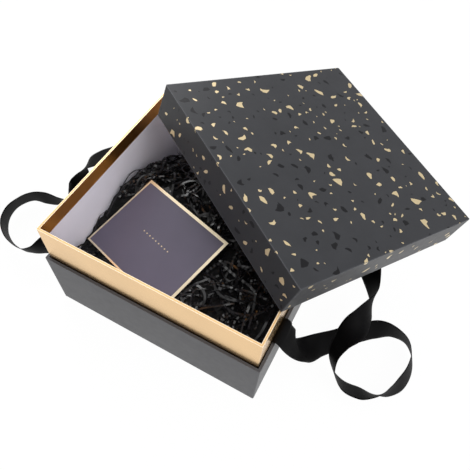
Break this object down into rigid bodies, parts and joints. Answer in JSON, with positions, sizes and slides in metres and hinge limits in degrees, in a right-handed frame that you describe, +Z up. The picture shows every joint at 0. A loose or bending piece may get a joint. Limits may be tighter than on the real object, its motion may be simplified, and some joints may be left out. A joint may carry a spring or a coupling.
{
  "type": "gift box",
  "caption": "Square rigid gift box with a gold foil collar, a loose lid lying askew, ribbon handles, a card and black shredded paper.",
  "frame": {"origin": "middle of the base's underside, on the surface the box stands on", "axes": "+X along the front wall to the right, +Y from the front wall to the back wall, +Z up"},
  "size_m": [0.4592, 0.3396, 0.1772],
  "materials": {
    "grey_board": "matte",
    "brown_tape": "matte",
    "dark_paper": "matte",
    "lid_paper": "matte with foil flecks",
    "gold_foil": "metallic foil",
    "white_paper": "matte",
    "black_ribbon": "satin weave",
    "black_shreds": "glossy",
    "card_paper": "matte"
  },
  "bodies": {
    "box": {"base_board": "grey_board", "base_corner_stay_back_right": "brown_tape", "base_corner_stay_back_left": "brown_tape", "base_corner_stay_front_left": "brown_tape", "base_corner_stay_front_right": "brown_tape", "base_wrap": "dark_paper", "base_bottom_sheet": "dark_paper", "collar_board": "grey_board", "collar_joint_tape": "brown_tape", "collar_foil": "gold_foil", "collar_lining": "white_paper", "floor_lining": "white_paper", "ribbon_right": "black_ribbon", "ribbon_right_front_end": "black_ribbon", "ribbon_right_back_end": "black_ribbon", "ribbon_left": "black_ribbon", "ribbon_left_front_end": "black_ribbon", "ribbon_left_back_end": "black_ribbon", "shred_bed": "black_shreds", "shreds": "black_shreds"},
    "card": {"card": "card_paper", "card_foil_border": "gold_foil"},
    "lid": {"lid_top_board": "grey_board", "lid_right_board": "grey_board", "lid_back_board": "grey_board", "lid_left_board": "grey_board", "lid_front_board": "grey_board", "lid_corner_stay_back_right": "brown_tape", "lid_corner_stay_back_left": "brown_tape", "lid_corner_stay_front_left": "brown_tape", "lid_corner_stay_front_right": "brown_tape", "lid_wrap": "lid_paper", "lid_lining": "white_paper"}
  },
  "joints": [
    {"name": "lid_lift", "type": "slide", "parent": "box", "child": "lid", "axis": [0, 0, 1], "range_m": [0, 0.15]},
    {"name": "card_lift", "type": "slide", "parent": "box", "child": "card", "axis": [0, 0, 1], "range_m": [0, 0.04]}
  ]
}
